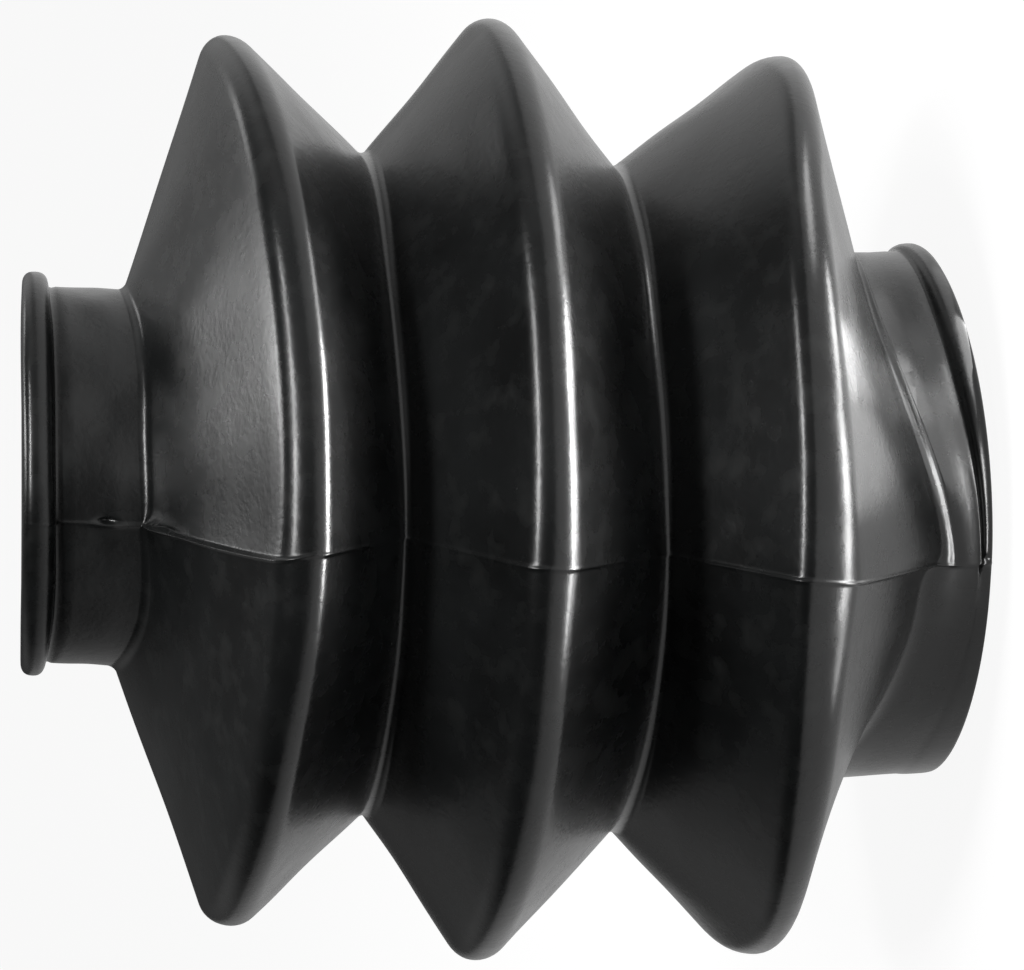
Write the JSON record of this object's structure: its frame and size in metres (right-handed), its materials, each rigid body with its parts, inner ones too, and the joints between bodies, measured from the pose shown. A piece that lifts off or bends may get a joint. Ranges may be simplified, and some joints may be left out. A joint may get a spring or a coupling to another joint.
{
  "type": "bellows boot",
  "caption": "Moulded black rubber bellows boot with folds between a large clamp collar and a small beaded clamp collar, open from end to end.",
  "frame": {"origin": "centre of the large collar's end face, which the boot stands on", "axes": "+Z along the boot's axis, from the large collar up to the small beaded collar. The mould's parting plane is the YZ plane."},
  "size_m": [0.096, 0.096, 0.094],
  "materials": {
    "black_rubber": "moulded, satin, with soft highlights on the folds"
  },
  "bodies": {
    "root": {"bellows_boot": "black_rubber"}
  },
  "joints": []
}
